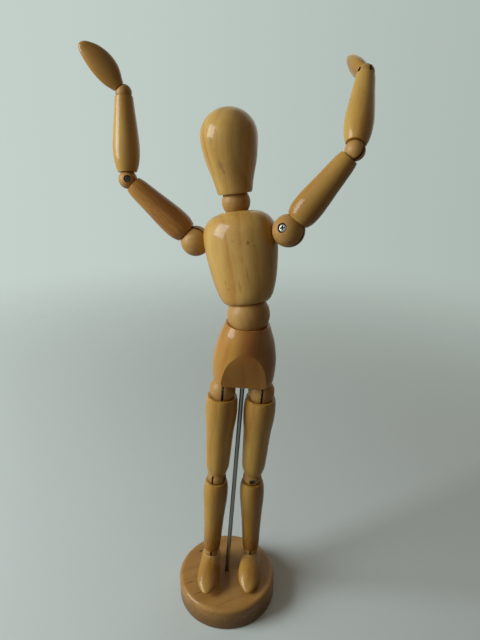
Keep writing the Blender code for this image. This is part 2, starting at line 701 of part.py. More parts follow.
for side, way in (("right", -1), ("left", 1)):
    pose = POSE[side]

    swivel, swing = frames(f"{side}_hip", pelvis_rig, shift(x=way * HIP_HALF_SPACING), pose["hip"])
    slotted_ball(f"{side}_hip", HIP_BALL, HIP_BORE, HIP_TENON, swivel, PALE_WOOD)
    screw(f"{side}_hip", HIP_BALL, swivel)
    link(f"{side}_hip", HIP_BALL, THIGH_BORE, HIP_LINK, swing)
    body = limb(THIGH_LENGTH, THIGH_BORE, THIGH_TOP, THIGH_OUTLINE, THIGH_END)
    part(f"{side}_thigh", body, swing, WOOD)

    swivel, swing = frames(f"{side}_knee", swing, shift(z=-THIGH_LENGTH), pose["knee"])
    slotted_ball(f"{side}_knee", KNEE_BALL, THIGH_BORE, KNEE_TENON, swivel, PALE_WOOD)
    screw(f"{side}_knee", KNEE_BALL, swivel)
    link(f"{side}_knee", KNEE_BALL, SHIN_BORE, KNEE_LINK, swing)
    body = limb(SHIN_LENGTH, SHIN_BORE, SHIN_TOP, SHIN_OUTLINE, SHIN_END)
    part(f"{side}_shin", body, swing, WOOD)

    swivel, swing = frames(f"{side}_ankle", swing, shift(z=-SHIN_LENGTH), pose["ankle"])
    link(f"{side}_ankle", ANKLE_BALL, SHIN_BORE, ANKLE_LINK, swivel, flip=True)
    slotted_ball(f"{side}_ankle", ANKLE_BALL, FOOT_BORE, ANKLE_TENON, swing, PALE_WOOD, flip=True)
    screw(f"{side}_ankle", ANKLE_BALL, swing)
    sole = part(f"{side}_foot", foot_body(), swing, WOOD)
    cut(sole, ball_cutter(ANKLE_BALL + SEAT_GAP))
    cut(sole, rod_cutter(FOOT_BORE, -ANKLE_BALL - ANKLE_TENON - FIT_GAP, 0))
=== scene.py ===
import json
import math

import bmesh
import bpy
from mathutils import Matrix, Vector


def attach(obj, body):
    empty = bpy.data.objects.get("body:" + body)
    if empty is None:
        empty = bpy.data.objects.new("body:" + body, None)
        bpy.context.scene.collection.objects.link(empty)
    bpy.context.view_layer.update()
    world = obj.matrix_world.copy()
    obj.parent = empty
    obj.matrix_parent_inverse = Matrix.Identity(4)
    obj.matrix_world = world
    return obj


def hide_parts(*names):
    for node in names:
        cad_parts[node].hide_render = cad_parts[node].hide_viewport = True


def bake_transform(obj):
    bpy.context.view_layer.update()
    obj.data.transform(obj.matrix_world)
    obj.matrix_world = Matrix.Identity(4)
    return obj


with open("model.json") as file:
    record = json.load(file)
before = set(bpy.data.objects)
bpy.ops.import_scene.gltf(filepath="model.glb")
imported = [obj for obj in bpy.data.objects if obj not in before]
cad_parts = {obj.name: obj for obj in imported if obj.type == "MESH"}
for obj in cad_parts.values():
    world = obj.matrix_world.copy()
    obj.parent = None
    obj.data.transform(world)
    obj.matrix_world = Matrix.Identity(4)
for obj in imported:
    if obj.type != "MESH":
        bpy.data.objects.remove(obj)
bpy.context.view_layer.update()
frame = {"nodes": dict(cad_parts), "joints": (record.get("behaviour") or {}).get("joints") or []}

mm = 0.001
joints = {joint["name"]: joint for joint in frame["joints"]}
sides = {"right": -1, "left": 1}


# shader values, so that a mask can be written as a sum

class Wire:
    def __init__(self, finish, socket):
        self.finish = finish
        self.socket = socket

    def __add__(self, other):
        return self.finish.math("ADD", self, other)

    def __sub__(self, other):
        return self.finish.math("SUBTRACT", self, other)

    def __rsub__(self, other):
        return self.finish.math("SUBTRACT", other, self)

    def __mul__(self, other):
        return self.finish.math("MULTIPLY", self, other)

    def __truediv__(self, other):
        return self.finish.math("DIVIDE", self, other)

    def __pow__(self, other):
        return self.finish.math("POWER", self, other)

    __radd__ = __add__
    __rmul__ = __mul__


class Finish:
    def __init__(self, owner):
        owner.use_nodes = True
        self.owner = owner
        self.tree = owner.node_tree
        self.nodes = self.tree.nodes

    # settings first, then sockets by name or number
    def add(self, kind, settings=None, sockets=None, output=0):
        node = self.nodes.new("ShaderNode" + kind)
        for key, value in (settings or {}).items():
            if key == "stops":
                ramp = node.color_ramp
                while len(ramp.elements) < len(value):
                    ramp.elements.new(1.0)
                for stop, (at, grey) in zip(ramp.elements, value):
                    stop.position = at
                    stop.color = (grey, grey, grey, 1)
            else:
                setattr(node, key, value)
        self.feed(node, sockets or {})
        return Wire(self, node.outputs[output])

    def feed(self, node, sockets):
        for key, value in sockets.items():
            if isinstance(value, Wire):
                self.tree.links.new(value.socket, node.inputs[key])
            else:
                node.inputs[key].default_value = value

    def math(self, operation, first, second):
        return self.add("Math", {"operation": operation}, {0: first, 1: second})

    def vector(self, operation, first, second):
        return self.add("VectorMath", {"operation": operation}, {0: first, 1: second})

    def mix(self, first, second, factor):
        settings = {"data_type": "RGBA"}
        return self.add("Mix", settings, {0: factor, 6: first, 7: second}, 2)

    def noise(self, place, scale, detail=3.0, rough=0.55):
        stretched = self.vector("MULTIPLY", place, scale)
        sockets = {"Vector": stretched, "Scale": 1.0, "Detail": detail, "Roughness": rough}
        return self.add("TexNoise", None, sockets)

    # object coordinates in mm
    def place(self):
        here = self.add("TexCoord", output="Object")
        return self.add("VectorMath", {"operation": "SCALE"}, {0: here, "Scale": 1 / mm})

    def length(self, vector):
        return self.add("VectorMath", {"operation": "LENGTH"}, {0: vector}, 1)

    def along(self, vector, axis):
        return self.add("VectorMath", {"operation": "DOT_PRODUCT"}, {0: vector, 1: axis}, 1)

    # 1 where the camera looks, or a mirror or glass, and 0 where light is only gathered
    def seen(self):
        ray = self.add("LightPath", output="Is Camera Ray") + self.add("LightPath", output="Is Glossy Ray")
        return self.add("Clamp", None, {0: ray + self.add("LightPath", output="Is Transmission Ray")})

    # smooth step from 0 at low to 1 at high
    def step(self, value, low, high):
        settings = {"interpolation_type": "SMOOTHSTEP"}
        return self.add("MapRange", settings, {0: value, 1: low, 2: high})


def newFinish(name):
    return Finish(bpy.data.materials.new(name))


def rgba(color):
    return (*color, 1)


# wood: soft rings round an offset pith, long fibres, a few flecks, broad tone, under lacquer

lacquered = {
    "pale": (0.590, 0.382, 0.098),
    "deep": (0.385, 0.174, 0.025),
    "pore": (0.130, 0.055, 0.012),
    "ringSpacing": 7.4,
    "ringShare": 0.30,
    "lineShare": 0.07,
    "fibreShare": 0.18,
    "fleckShare": 0.45,
    "toneShare": 0.52,
    "roughness": 0.38,
    "specular": 0.16,
    "coat": 0.30,
    "coatRoughness": 0.06,
    "bump": 0.05,
}
barePale = lacquered | {
    "pale": (0.510, 0.298, 0.092),
    "deep": (0.360, 0.182, 0.046),
    "pore": (0.150, 0.065, 0.018),
    "ringSpacing": 4.0,
    "ringShare": 0.18,
    "lineShare": 0.06,
    "fibreShare": 0.26,
    "fleckShare": 0.35,
    "roughness": 0.46,
    "coat": 0.16,
    "coatRoughness": 0.26,
    "bump": 0.09,
}
amber = lacquered | {  # where the lacquer lies thicker
    "pale": (0.495, 0.258, 0.042),
    "deep": (0.325, 0.118, 0.013),
}
honey = lacquered | {"pale": (0.550, 0.350, 0.076), "deep": (0.370, 0.162, 0.019)}
tawny = lacquered | {"pale": (0.465, 0.278, 0.053), "deep": (0.315, 0.130, 0.015)}


grain = {  # in mm or per mm, with the fibres along z
    "drift": (17.3, 31.7, 83.9),  # how far each step of the seed moves along
    "swayScale": 0.035,
    "swayReach": (8, 8, 2),
    "taper": (1, 1, 0.075),
    "bandStops": ((0.0, 0.0), (0.35, 0.2), (0.74, 0.9), (0.84, 1.0), (0.95, 0.2), (1.0, 0.0)),
    "lineStops": ((0.0, 0.0), (0.84, 0.0), (0.91, 1.0), (0.95, 0.5), (1.0, 0.0)),
    "lineGaps": (0.09, 0.09, 0.022),
    "fibres": (1.7, 1.7, 0.03),
    "flecks": (2.1, 2.1, 0.34),
    "tones": (0.075, 0.075, 0.018),
    "relief": 0.1,
}


# marks are (centre, half size across and along the fibres, share, tone)
# the mask for hollows paints shade into recesses and slots, darkening them, and leaves them without coat
def woodFinish(name, look, seed, lie=(0, 0, 0), marks=(), hollowShade=None):
    finish = newFinish(name)
    whole = finish.place()
    drift = tuple(shift * seed for shift in grain["drift"])
    place = finish.add("Mapping", None, {"Vector": whole, "Location": drift, "Rotation": lie})

    swaySockets = {"Vector": place, "Scale": grain["swayScale"], "Detail": 2.0}
    sway = finish.add("TexNoise", None, swaySockets, 1)
    sway = finish.vector("SUBTRACT", sway, (0.5, 0.5, 0.5))
    swayed = finish.vector("ADD", place, finish.vector("MULTIPLY", sway, grain["swayReach"]))

    # the seed also places the pith, which lies outside most pieces
    pith = (19 + 8 * math.sin(2.1 * seed), 12 + 9 * math.cos(1.7 * seed), 0)
    centre = finish.vector("SUBTRACT", swayed, tuple(d - p for d, p in zip(drift, pith)))
    away = finish.length(finish.vector("MULTIPLY", centre, grain["taper"]))
    phase = finish.add("Math", {"operation": "FRACT"}, {0: away / look["ringSpacing"]})
    band = finish.add("ValToRGB", {"stops": grain["bandStops"]}, {0: phase})
    line = finish.add("ValToRGB", {"stops": grain["lineStops"]}, {0: phase})
    line = line * finish.step(finish.noise(place, grain["lineGaps"], 1.0), 0.50, 0.66)

    fibre = finish.step(finish.noise(swayed, grain["fibres"], 5.0, 0.62), 0.32, 0.70)
    fleck = finish.step(finish.noise(place, grain["flecks"], 1.0), 0.735, 0.79)
    tone = finish.step(finish.noise(place, grain["tones"], 2.0), 0.28, 0.72)

    depth = band * look["ringShare"] + fibre * look["fibreShare"] + tone * look["toneShare"]
    color = finish.mix(rgba(look["pale"]), rgba(look["deep"]), depth)
    dark = line * look["lineShare"] + fleck * look["fleckShare"]
    color = finish.mix(color, rgba(look["pore"]), dark)
    for at, size, share, shade in marks:
        near = finish.vector("SUBTRACT", whole, at)
        near = finish.add("Mapping", None, {"Vector": near, "Rotation": lie})
        near = finish.length(finish.vector("DIVIDE", near, size))
        blot = finish.step(near + (fibre - 0.5) * 0.6, 1.0, 0.25)
        color = finish.mix(color, rgba(shade), blot * share)
    coat = look["coat"] - fleck * 0.2
    # hollows are darkened with painted shade
    if hollowShade:
        hollowShadeMask = hollowShade(finish, whole)
        color = finish.mix(color, rgba(look["pore"]), hollowShadeMask * 0.85)
        coat = coat * (1 - hollowShadeMask)

    height = (1 - fleck) * 0.7 + fibre * 0.3
    bump = finish.add("Bump", None, {
        "Strength": look["bump"], "Distance": grain["relief"] * mm, "Height": height,
    })
    finish.feed(finish.nodes["Principled BSDF"], {
        "Base Color": color,
        "Roughness": look["roughness"] + fibre * 0.08 + fleck * 0.15,
        "Normal": bump,
        "Coat Weight": coat,
        "Coat Roughness": look["coatRoughness"],
        "Specular IOR Level": look["specular"],
    })
    return finish.owner


drawnSteel = {
    "color": (0.24, 0.25, 0.245), "shade": (0.10, 0.105, 0.10), "roughness": 0.22, "lines": (9, 9, 0.05),
}
platedSteel = {
    "color": (0.26, 0.250, 0.228), "shade": (0.15, 0.142, 0.125),
    # the near-black recess colour is painted shade
    "roughness": 0.35, "lines": (1.6, 1.6, 1.6), "recessShade": (0.022, 0.018, 0.014),
}
# a darker copy of plated steel, painted shade for the small screws, which sit in shadow
shadedPlatedSteel = platedSteel | {"color": (0.13, 0.125, 0.11), "shade": (0.07, 0.065, 0.055)}
stampedSteel = {
    "color": (0.34, 0.33, 0.31), "shade": (0.13, 0.115, 0.10), "roughness": 0.40, "lines": (0.9, 0.9, 0.9),
}


# the last argument gives a mask of painted shade in recesses, worked out by the piece
def steelFinish(name, look, sunkShade=None):
    finish = newFinish(name)
    place = finish.place()
    line = finish.step(finish.noise(place, look["lines"], 4.0, 0.6), 0.35, 0.7)
    speck = finish.step(finish.noise(place, (2.2, 2.2, 2.2), 2.0), 0.62, 0.75)
    dull = line * 0.5 + speck * 0.4
    color = finish.mix(rgba(look["color"]), rgba(look["shade"]), dull)
    roughness = look["roughness"] + dull * 0.16
    metallic = 1.0
    if sunkShade:
        recessShade = sunkShade(finish, place)
        color = finish.mix(color, rgba(look["recessShade"]), recessShade * 0.92)
        roughness = roughness + recessShade * 0.3
        metallic = 1 - recessShade * 0.8
    bump = finish.add("Bump", None, {"Strength": 0.05, "Distance": 0.05 * mm, "Height": line})
    finish.feed(finish.nodes["Principled BSDF"], {
        "Base Color": color,
        "Metallic": metallic,
        "Roughness": roughness,
        "Normal": bump,
    })
    return finish.owner


rodSteel = steelFinish("drawnRodSteel", drawnSteel)
linkSteel = steelFinish("stampedLinkSteel", stampedSteel)
print("metal finishes ready")


# outlines and turned bodies, in mm

def curveThrough(points, spans=6):
    line = []
    last = len(points) - 1
    for i in range(last):
        a, b, c, d = (points[min(max(i + k, 0), last)] for k in (-1, 0, 1, 2))
        for k in range(spans):
            t = k / spans
            line.append(tuple(
                q + t / 2 * (r - p + t * (2 * p - 5 * q + 4 * r - s + t * (3 * q - p - 3 * r + s)))
                for p, q, r, s in zip(a, b, c, d)
            ))
    return line + [tuple(points[-1])]


def roundedCorner(before, corner, after, reach, count=4):
    def toward(other):
        gap = math.dist(corner, other)
        share = min(reach, 0.49 * gap) / gap
        return tuple(c + (o - c) * share for c, o in zip(corner, other))

    start, end = toward(before), toward(after)
    line = []
    for i in range(count + 1):
        t = i / count
        line.append(tuple(
            (1 - t) ** 2 * s + 2 * t * (1 - t) * c + t * t * e for s, c, e in zip(start, corner, end)
        ))
    return line


def softened(line, corners):
    out = []
    for i, point in enumerate(line):
        reach = corners.get(i)
        if reach is None:
            out.append(point)
        else:
            out += roundedCorner(line[i - 1], point, line[(i + 1) % len(line)], reach)
    return out


def arcLine(radius, start, end, count, height=0.0):
    angles = [start + (end - start) * i / count for i in range(count + 1)]
    return [(radius * math.sin(a), height + radius * math.cos(a)) for a in angles]


def turnedBody(profile, steps=64, closed=False):
    bm = bmesh.new()
    points = [bm.verts.new((radius * mm, 0, height * mm)) for radius, height in profile]
    edges = [bm.edges.new(pair) for pair in zip(points, points[1:])]
    if closed:
        edges.append(bm.edges.new((points[-1], points[0])))
    bmesh.ops.spin(
        bm, geom=points + edges, axis=(0, 0, 1), cent=(0, 0, 0),
        angle=math.tau, steps=steps, use_merge=True,
    )
    bmesh.ops.remove_doubles(bm, verts=bm.verts, dist=1e-7)
    return bm


def loftedBody(rings):
    bm = bmesh.new()
    rows = [[bm.verts.new([v * mm for v in point]) for point in ring] for ring in rings]
    for low, high in zip(rows, rows[1:]):
        for i in range(len(low)):
            j = (i + 1) % len(low)
            bm.faces.new((low[i], low[j], high[j], high[i]))
    for row in (rows[0], rows[-1]):
        hub = bm.verts.new(sum((v.co for v in row), Vector()) / len(row))
        for i in range(len(row)):
            bm.faces.new((row[i], row[(i + 1) % len(row)], hub))
    return bm


def blockBody(x, y, z):
    bm = bmesh.new()
    bmesh.ops.create_cube(bm, size=1)
    for vert in bm.verts:
        vert.co = [(low + (high - low) * (at + 0.5)) * mm for at, (low, high) in zip(vert.co, (x, y, z))]
    return bm


def rodBody(radius, low, high, steps=40):
    return turnedBody([(0, low), (radius, low), (radius, high), (0, high)], steps)


def ballBody(radius, centre=(0, 0, 0), steps=72):
    bm = turnedBody(arcLine(radius, 0, math.pi, steps // 2), steps)
    bmesh.ops.translate(bm, verts=bm.verts, vec=Vector(centre) * mm)
    return bm


def newObject(name, bm, place):
    bmesh.ops.recalc_face_normals(bm, faces=bm.faces)
    mesh = bpy.data.meshes.new(name)
    bm.to_mesh(mesh)
    bm.free()
    thing = bpy.data.objects.new(name, mesh)
    bpy.context.scene.collection.objects.link(thing)
    thing.matrix_world = place
    return thing


def carved(thing, tools):
    cutters = []
    for bm, local in tools:
        cutter = newObject(thing.name + "Cutter", bm, thing.matrix_world @ local)
        cut = thing.modifiers.new("cut", "BOOLEAN")
        cut.operation = "DIFFERENCE"
        cut.solver = "EXACT"
        cut.object = cutter
        cutters.append(cutter)
    bpy.context.view_layer.update()
    graph = bpy.context.evaluated_depsgraph_get()
    mesh = bpy.data.meshes.new_from_object(thing.evaluated_get(graph))
    thing.modifiers.clear()
    thing.data = mesh
    for cutter in cutters:
        bpy.data.objects.remove(cutter)
    return thing


# edges are eased by edgeEase mm, then shaded smooth except across corners
def dressed(thing, material, body, nodes, edgeEase=0.0, corner=38):
    if edgeEase:
        ease = thing.modifiers.new("eased edges", "BEVEL")
        ease.width = edgeEase * mm
        ease.segments = 3
        ease.limit_method = "ANGLE"
        ease.angle_limit = math.radians(corner)
        ease.use_clamp_overlap = True
        ease.miter_outer = "MITER_ARC"
    for face in thing.data.polygons:
        face.use_smooth = True
    thing.data.set_sharp_from_angle(angle=math.radians(corner))
    thing.data.materials.clear()
    thing.data.materials.append(material)
    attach(thing, body)
    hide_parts(*nodes)
    return thing


# places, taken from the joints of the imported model

def spot(name):
    return Vector(joints[name]["pos_m"])


def axisOf(name):
    return Vector(joints[name]["axis"]).normalized()


def placeBy(origin, across, along):
    z = along.normalized()
    x = (across - across.dot(z) * z).normalized()
    y = z.cross(x)
    place = Matrix((x, y, z)).transposed().to_4x4()
    place.translation = origin
    return place


def limbPlace(side, joint, after):
    here = spot(f"{side}_{joint}_swing")
    return placeBy(here, axisOf(f"{side}_{joint}_swing"), here - spot(f"{side}_{after}_swing"))


def turnPlace(side, joint, limb):
    along = axisOf(f"{side}_{joint}_turn")
    if along.dot(limb.col[2].xyz) < 0:
        along = -along
    return placeBy(spot(f"{side}_{joint}_turn"), axisOf(f"{side}_{joint}_swing"), along)


def centrePlace(joint):
    along = axisOf(f"{joint}_turn")
    return placeBy(spot(f"{joint}_turn"), axisOf(f"{joint}_side").cross(along), along)


def reachOf(start, end):
    return (spot(end) - spot(start)).length / mm


seatGap = 0.28  # mm between a ball and its cup
boreSlack = 0.3  # mm left free past the end of a tenon, link or rod
tenonPlay = 0.3  # mm between a tenon and its bore
screwPlay = 0.25  # mm round a screw


# base and rod

baseShape = {
    "radius": 34.0,
    "height": 17.0,
    "topRound": 2.9,
    "footRound": 1.0,
    "woodUnderRod": 4.0,
    "grainLie": (math.radians(90), math.radians(-65), 0),  # fibres run to the right and back
    "seed": 3,
    "marks": (
        ((-26.0, -10.6, 17.0), (0.55, 4.0, 6.0), 0.75, (0.12, 0.05, 0.014)),
        ((-19.6, -19.6, 17.0), (0.50, 4.0, 5.5), 0.70, (0.12, 0.05, 0.014)),
        ((-2.0, -27.5, 17.0), (0.50, 3.0, 7.0), 0.40, (0.16, 0.07, 0.018)),
        ((-19.9, 17.0, 17.0), (1.1, 2.0, 1.7), 1.00, (0.030, 0.015, 0.008)),
        # this last mark darkens the base's side, more towards the bottom: painted shade
        ((0.0, 0.0, 0.0), (200.0, 16.5, 200.0), 0.75, (0.120, 0.052, 0.011)),
    ),
}
baseWood = lacquered | {
    "pale": (0.440, 0.240, 0.062),
    "deep": (0.310, 0.134, 0.028),
    "ringSpacing": 9.0,
    "ringShare": 0.20,
    "lineShare": 0.30,
    "toneShare": 0.40,
}
rodShape = {"radius": 1.4, "play": 0.25, "abovePelvis": 15.0, "tip": 0.4}

hipMiddle = (spot("right_hip_turn") + spot("left_hip_turn")) / 2
pelvisUp = spot("waist_turn") - hipMiddle
pelvisPlace = placeBy(hipMiddle, spot("left_hip_turn") - spot("right_hip_turn"), pelvisUp)
rodFoot = Vector((0, 0, baseShape["height"])) * mm  # where the rod's axis meets the top of the base
rodLow = baseShape["woodUnderRod"] - baseShape["height"] - (hipMiddle - rodFoot).length / mm


def makeBase(shape):
    radius, height = shape["radius"], shape["height"]
    top, foot = shape["topRound"], shape["footRound"]
    line = [(0, 0), (radius - foot, 0)]
    for a in map(math.radians, (20, 45, 70, 90)):
        line.append((radius - foot * (1 - math.sin(a)), foot * (1 - math.cos(a))))
    line += [(radius, height * share) for share in (0.25, 0.5, 0.7)]
    for a in map(math.radians, range(0, 91, 9)):
        line.append((radius - top * (1 - math.cos(a)), height - top * (1 - math.sin(a))))
    line += [(radius * share, height) for share in (0.8, 0.5, 0.2)] + [(0, height)]
    base = newObject("baseDisc", turnedBody(line, 128), Matrix.Identity(4))
    hole = rodBody(rodShape["radius"] + rodShape["play"], rodLow - boreSlack, rodLow + 2 * height)
    carved(base, [(hole, pelvisPlace)])
    wood = woodFinish("baseWood", baseWood, shape["seed"], shape["grainLie"], shape["marks"])
    dressed(base, wood, "stand", ["base"])


def makeRod(shape):
    radius, tip = shape["radius"], shape["tip"]
    high = pelvisShape["bottom"] + shape["abovePelvis"]
    line = [(0, rodLow), (radius, rodLow), (radius, high - tip), (radius - tip, high), (0, high)]
    rod = newObject("supportRod", turnedBody(line, 40), pelvisPlace)
    dressed(rod, rodSteel, "stand", ["support_rod"])


makeBase(baseShape)
print("base done")


# pelvis: turned barrel, round at the cup, pressed oval below, cut flat to an arch front and back

ballSizes = {
    "waist": 12.4, "neck": 8.0, "shoulder": 8.9, "elbow": 5.3,
    "wrist": 4.5, "hip": 8.2, "knee": 6.2, "ankle": 4.9,
}
pelvisShape = {
    "bottom": 7.0,
    "flat": (9.0, 16.0),
    "bottomEdge": 17.6,
    "bottomRound": 0.9,
    "outline": (  # height, radius
        (8.2, 17.9), (10, 18.4), (17, 18.8), (23, 18.7), (29, 17.8), (34, 16.7), (39, 15.1), (43, 13.6),
    ),
    "roundBand": 8.4,
    "ovalEase": 14.0,
    "cupRim": 5.6,
    "cupEdge": 12.9,
    "springBore": 4.2,
    "springDepth": 11.0,
    "depth": 0.86,
    "archTop": 31.0,
    "archTopHalf": 15.1,
    "archHalf": 10.2,
    "hipBore": 2.5,
    "hipTenon": 8.0,
    "seed": 5,
    "marks": (
        # both patches are painted shade, darkening the front top and the side away from the window
        ((1.0, -15.0, 36.0), (6.0, 12.0, 15.0), 0.60, (0.330, 0.090, 0.010)),
        ((12.0, -10.0, 30.0), (10.0, 12.0, 26.0), 0.50, (0.260, 0.082, 0.012)),
    ),
}


def makePelvis(shape):
    waist = pelvisUp.length / mm
    seat = ballSizes["waist"] + seatGap
    outer = [(radius, height) for height, radius in shape["outline"]]
    outer = curveThrough(outer + [(shape["cupEdge"], waist - shape["cupRim"])], 5)
    cup = arcLine(
        seat, math.acos(-shape["cupRim"] / seat), math.pi - math.asin(shape["springBore"] / seat), 20, waist
    )
    floor = waist - ballSizes["waist"] - shape["springDepth"]
    bottom = shape["bottom"]
    line = [(0, bottom)] + [(radius, bottom) for radius in shape["flat"]]
    line += roundedCorner(line[-1], (shape["bottomEdge"], bottom), outer[0], shape["bottomRound"])
    corner = len(line) + len(outer) - 1
    line += outer + cup + [(shape["springBore"], floor), (0, floor)]
    line = softened(line, {corner: 0.5, corner + 1: 0.35})
    bm = turnedBody(line, 96)
    for vert in bm.verts:
        ease = (waist - shape["roundBand"] - vert.co.z / mm) / shape["ovalEase"]
        ease = min(1.0, max(0.0, ease))
        vert.co.y *= 1 + (shape["depth"] - 1) * ease * ease * (3 - 2 * ease)
    pelvis = newObject("pelvisBarrel", bm, pelvisPlace)
    half = shape["archHalf"]
    lean = math.atan2(shape["archTopHalf"] - half, shape["archTop"] - bottom)
    tools = []
    for way in (1, -1):
        flip = Matrix.Rotation(math.pi, 4, "Z") if way < 0 else Matrix.Identity(4)
        at = Matrix.Translation(Vector((0, way * half, bottom)) * mm)
        tilt = Matrix.Rotation(-way * lean, 4, "X")
        tools.append((blockBody((-waist, waist), (0, waist), (-bottom, waist)), at @ tilt @ flip))
    rodTop = bottom + rodShape["abovePelvis"] + boreSlack
    tools.append((rodBody(rodShape["radius"] + rodShape["play"], 0, rodTop), Matrix.Identity(4)))
    spread = (spot("left_hip_turn") - spot("right_hip_turn")).length / mm / 2
    for way in (-1, 1):
        at = Matrix.Translation(Vector((way * spread, 0, 0)) * mm)
        tools.append((ballBody(ballSizes["hip"] + seatGap), at))
        tools.append((rodBody(shape["hipBore"], 0, ballSizes["hip"] + shape["hipTenon"] + boreSlack), at))
    carved(pelvis, tools)
    wood = woodFinish("pelvisWood", amber, shape["seed"], marks=shape["marks"])
    dressed(pelvis, wood, "stand", ["pelvis"], 0.22, 24)


makePelvis(pelvisShape)
makeRod(rodShape)
print("pelvis and rod done")


# bored balls of waist and neck

boredBalls = {
    "waist": {"throat": 4.2, "mouth": 7.2, "seed": 7},
    "neck": {"throat": 2.6, "mouth": 3.9, "seed": 8},
}


def makeBoredBall(joint, shape):
    ball = ballSizes[joint]
    opening = math.asin(shape["mouth"] / ball)
    line = arcLine(ball, opening, math.pi - opening, 48) + [(shape["throat"], 0)]
    piece = newObject(f"{joint}Ball", turnedBody(line, 80, closed=True), centrePlace(joint))
    wood = woodFinish(f"{joint}BallWood", barePale, shape["seed"])
    dressed(piece, wood, f"{joint}_ball", [f"{joint}_ball"])


for joint, shape in boredBalls.items():
    makeBoredBall(joint, shape)


# chest

chestShape = {
    "outline": (  # height, radius
        (8.6, 14.0), (12, 16.1), (19, 18.6), (27, 20.3), (36, 21.6), (44, 22.0),
        (49.5, 21.2), (54, 18.6), (56.8, 14.6),
    ),
    "cupRim": 7.0,
    "cupEdge": 12.2,
    "neckRim": 5.4,
    "neckEdge": 9.6,
    "springBore": 4.2,
    "springTop": 34.0,
    "neckBore": 2.9,
    "neckFloor": 38.0,
    "depth": 0.76,
    "ovalEase": 6.5,
    "roundInside": 9.0,
    "neckEase": 4.0,
    "shoulderBore": 2.5,
    "shoulderTenon": 9.0,
    "seed": 11,
    "marks": (
        ((12.1, -13.9, 40.8), (0.9, 2.0, 1.7), 0.75, (0.10, 0.045, 0.012)),
        ((14.7, -12.3, 38.8), (0.7, 1.5, 0.8), 0.50, (0.13, 0.055, 0.015)),
        ((4.3, -16.4, 42.4), (1.6, 2.0, 0.8), 0.35, (0.20, 0.12, 0.045)),
        ((-4.2, -14.0, 20.2), (0.7, 2.0, 2.2), 0.55, (0.15, 0.065, 0.018)),
        ((-3.0, -14.0, 16.6), (1.3, 2.0, 0.6), 0.40, (0.15, 0.065, 0.018)),
        ((9.4, -13.4, 24.0), (0.7, 3.0, 8.0), 0.50, (0.19, 0.085, 0.022)),
        ((4.4, -13.5, 17.5), (0.8, 3.0, 4.5), 0.40, (0.19, 0.085, 0.022)),
        ((10.7, -13.6, 33.0), (4.2, 5.0, 12.0), 0.35, (0.60, 0.37, 0.11)),
    ),
}
chestPlace = placeBy(spot("waist_bend"), axisOf("waist_bend"), spot("neck_turn") - spot("waist_bend"))


def makeChest(shape):
    neck = (spot("neck_turn") - spot("waist_bend")).length / mm
    seat = ballSizes["waist"] + seatGap
    cup = arcLine(seat, math.asin(shape["springBore"] / seat), math.acos(shape["cupRim"] / seat), 16)
    outer = [(shape["cupEdge"], shape["cupRim"])]
    outer += [(radius, height) for height, radius in shape["outline"]]
    outer = curveThrough(outer + [(shape["neckEdge"], neck - shape["neckRim"])], 5)
    seat = ballSizes["neck"] + seatGap
    upper = arcLine(
        seat, math.acos(-shape["neckRim"] / seat), math.pi - math.asin(shape["neckBore"] / seat), 10, neck
    )
    first = len(cup)
    last = first + len(outer) - 1
    line = cup + outer + upper
    line += [(shape["neckBore"], shape["neckFloor"]), (shape["springBore"], shape["springTop"])]
    line = softened(line, {first - 1: 0.3, first: 0.45, last: 0.4, last + 1: 0.3})
    bm = turnedBody(line, 112, closed=True)
    for vert in bm.verts:
        radius = math.hypot(vert.co.x, vert.co.y)
        above = max(0.0, vert.co.z / mm - shape["cupRim"])
        rise = 1 - math.exp(-above / shape["ovalEase"])
        inward = min(1.0, max(0.0, (radius / mm - shape["roundInside"]) / shape["neckEase"]))
        share = rise * inward * inward * (3 - 2 * inward)
        vert.co.y *= 1 + (shape["depth"] - 1) * share
    chest = newObject("chestBarrel", bm, chestPlace)
    tools = []
    for side, way in sides.items():
        at = Matrix.Translation(chestPlace.inverted() @ spot(f"{side}_shoulder_turn"))
        tools.append((ballBody(ballSizes["shoulder"] + seatGap), at))
        deep = ballSizes["shoulder"] + shape["shoulderTenon"] + boreSlack
        bore = rodBody(shape["shoulderBore"], 0, deep)
        tools.append((bore, at @ Matrix.Rotation(-way * math.pi / 2, 4, "Y")))
    carved(chest, tools)
    wood = woodFinish("chestWood", lacquered, shape["seed"], marks=shape["marks"])
    dressed(chest, wood, "chest", ["chest"], 0.3, 28)


makeChest(chestShape)
print("chest done")


# head

headShape = {
    "outline": (  # height, radius
        (6.0, 9.9), (10, 10.7), (15, 12.0), (20, 13.5), (25, 14.6), (30, 15.4), (35, 15.7),
        (38.8, 15.1), (42.1, 13.7), (45.2, 11.3), (47.6, 8.1), (49.2, 4.2), (49.8, 0.0),
    ),
    "cupRim": 4.6,
    "cupEdge": 9.3,
    "bore": 2.9,
    "boreTop": 20.0,
    "nod": 5.0,
    "seed": 13,
    "marks": (
        ((0.7, -13.5, 20.2), (2.0, 3.0, 3.0), 0.40, (0.17, 0.135, 0.075)),
        ((1.6, -13.0, 16.5), (1.2, 3.0, 1.6), 0.35, (0.17, 0.135, 0.075)),
        ((-2.5, -15.4, 32.6), (1.3, 3.0, 2.6), 0.40, (0.19, 0.13, 0.06)),
        ((-9.0, -6.7, 12.0), (0.8, 1.2, 0.7), 0.95, (0.05, 0.025, 0.012)),
        ((-0.1, -11.9, 14.0), (2.0, 4.0, 7.0), 0.30, (0.60, 0.40, 0.14)),
    ),
}
headUp = Matrix.Rotation(math.radians(headShape["nod"]), 3, axisOf("neck_bend")) @ axisOf("neck_turn")
headPlace = placeBy(spot("neck_bend"), axisOf("neck_bend"), headUp)


